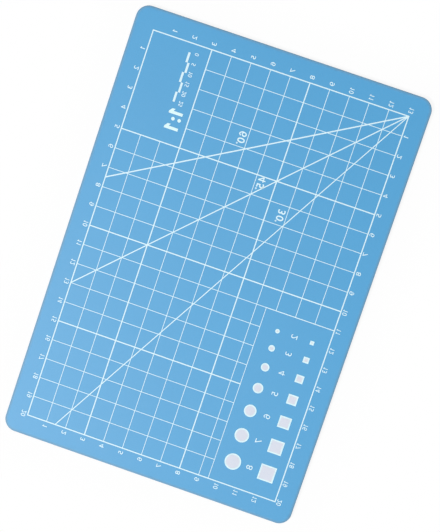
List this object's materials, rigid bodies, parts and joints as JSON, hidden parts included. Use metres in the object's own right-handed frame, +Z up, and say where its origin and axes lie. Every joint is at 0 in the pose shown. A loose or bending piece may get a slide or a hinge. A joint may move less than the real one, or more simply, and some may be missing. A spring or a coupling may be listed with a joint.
{
  "type": "self-healing cutting mat",
  "caption": "Flat rectangular laminated PVC cutting mat with rounded corners, a printed centimetre grid, angle lines and disc and square size gauges, for cutting on with a knife.",
  "frame": {"origin": "middle of the underside, on the surface that the mat lies on", "axes": "+Z up out of the printed face; +X across the short side and +Y along the long side, with the size gauges at +X -Y and the corner of the angle lines at +X +Y"},
  "size_m": [0.15, 0.2208, 0.003],
  "materials": {
    "blue_pvc": "matte sky-blue soft PVC with a fine grain",
    "adhesive_film": "thin clear-bluish adhesive film, seen only as a hairline on the edge",
    "core_pvc": "smooth off-white rigid PVC, seen only on the edge",
    "white_ink": "opaque white screen-print ink, slightly cool"
  },
  "bodies": {
    "root": {"bottom_skin": "blue_pvc", "bottom_bond": "adhesive_film", "core_sheet": "core_pvc", "top_bond": "adhesive_film", "top_skin": "blue_pvc", "printed_grid": "white_ink", "gauge_disc_1": "white_ink", "gauge_disc_2": "white_ink", "gauge_disc_3": "white_ink", "gauge_disc_4": "white_ink", "gauge_disc_5": "white_ink", "gauge_disc_6": "white_ink", "gauge_disc_7": "white_ink", "gauge_square_1": "white_ink", "gauge_square_2": "white_ink", "gauge_square_3": "white_ink", "gauge_square_4": "white_ink", "gauge_square_5": "white_ink", "gauge_square_6": "white_ink", "gauge_square_7": "white_ink"}
  },
  "joints": []
}
